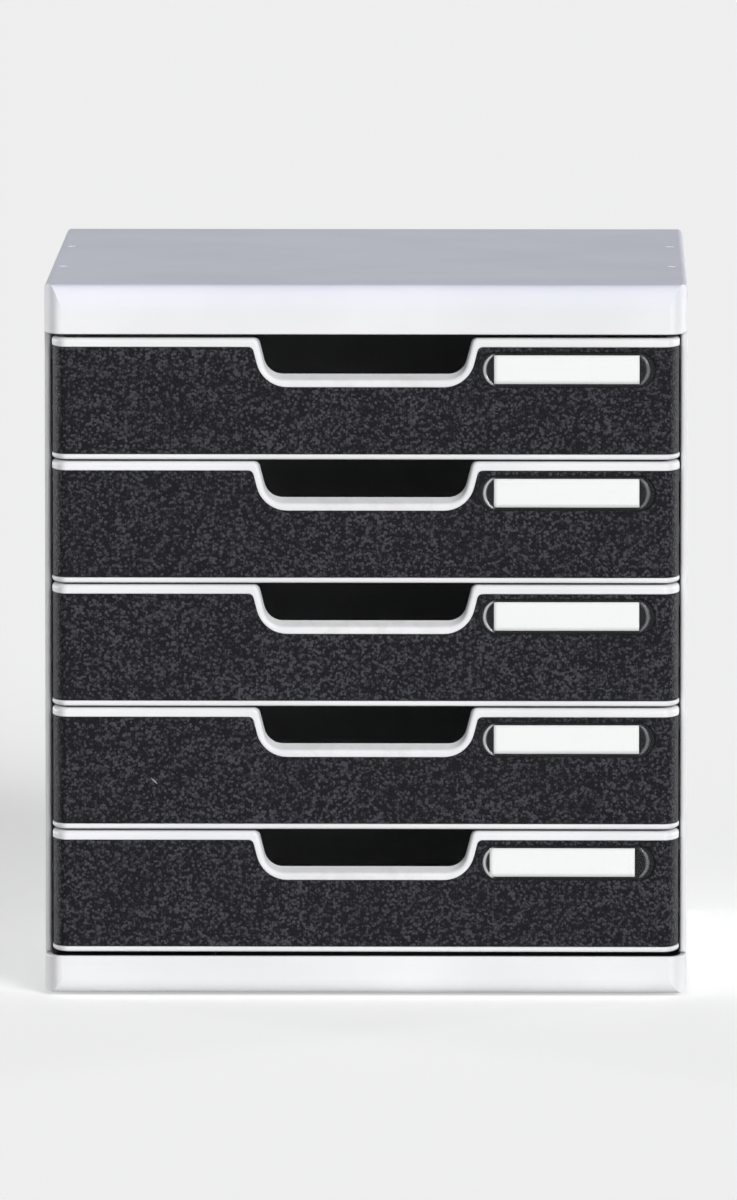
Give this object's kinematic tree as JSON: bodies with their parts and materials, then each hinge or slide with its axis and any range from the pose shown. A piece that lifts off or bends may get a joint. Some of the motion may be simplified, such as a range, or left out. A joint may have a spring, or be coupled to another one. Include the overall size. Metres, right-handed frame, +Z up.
{
  "type": "desktop drawer unit",
  "caption": "Moulded desktop drawer unit for A4 paper: pale grey housing and trays, dark textured drawer fronts with finger notches and clear label windows.",
  "frame": {"origin": "on the surface that the unit stands on, under the middle of its width and depth", "axes": "+X to the right as seen from the front, +Y from the drawer fronts to the back, +Z up"},
  "size_m": [0.288, 0.34, 0.32],
  "materials": {
    "grey_plastic": "fine satin",
    "black_plastic": "grained matte",
    "label_paper": "white paper card",
    "clear_plastic": "clear gloss",
    "foot_rubber": "matte"
  },
  "bodies": {
    "housing": {"top_cover": "grey_plastic", "base": "grey_plastic", "left_side_panel": "grey_plastic", "right_side_panel": "grey_plastic", "back_panel": "grey_plastic", "foot_front_left": "foot_rubber", "foot_front_right": "foot_rubber", "foot_rear_left": "foot_rubber", "foot_rear_right": "foot_rubber"},
    "drawer_1": {"drawer_1_tray": "grey_plastic", "drawer_1_front_panel": "black_plastic", "drawer_1_label_card": "label_paper", "drawer_1_label_window": "clear_plastic"},
    "drawer_2": {"drawer_2_tray": "grey_plastic", "drawer_2_front_panel": "black_plastic", "drawer_2_label_card": "label_paper", "drawer_2_label_window": "clear_plastic"},
    "drawer_3": {"drawer_3_tray": "grey_plastic", "drawer_3_front_panel": "black_plastic", "drawer_3_label_card": "label_paper", "drawer_3_label_window": "clear_plastic"},
    "drawer_4": {"drawer_4_tray": "grey_plastic", "drawer_4_front_panel": "black_plastic", "drawer_4_label_card": "label_paper", "drawer_4_label_window": "clear_plastic"},
    "drawer_5": {"drawer_5_tray": "grey_plastic", "drawer_5_front_panel": "black_plastic", "drawer_5_label_card": "label_paper", "drawer_5_label_window": "clear_plastic"}
  },
  "joints": [
    {"name": "drawer_1_slide", "type": "slide", "parent": "housing", "child": "drawer_1", "axis": [0, -1, 0], "range_m": [0, 0.22]},
    {"name": "drawer_2_slide", "type": "slide", "parent": "housing", "child": "drawer_2", "axis": [0, -1, 0], "range_m": [0, 0.22]},
    {"name": "drawer_3_slide", "type": "slide", "parent": "housing", "child": "drawer_3", "axis": [0, -1, 0], "range_m": [0, 0.22]},
    {"name": "drawer_4_slide", "type": "slide", "parent": "housing", "child": "drawer_4", "axis": [0, -1, 0], "range_m": [0, 0.22]},
    {"name": "drawer_5_slide", "type": "slide", "parent": "housing", "child": "drawer_5", "axis": [0, -1, 0], "range_m": [0, 0.22]}
  ]
}
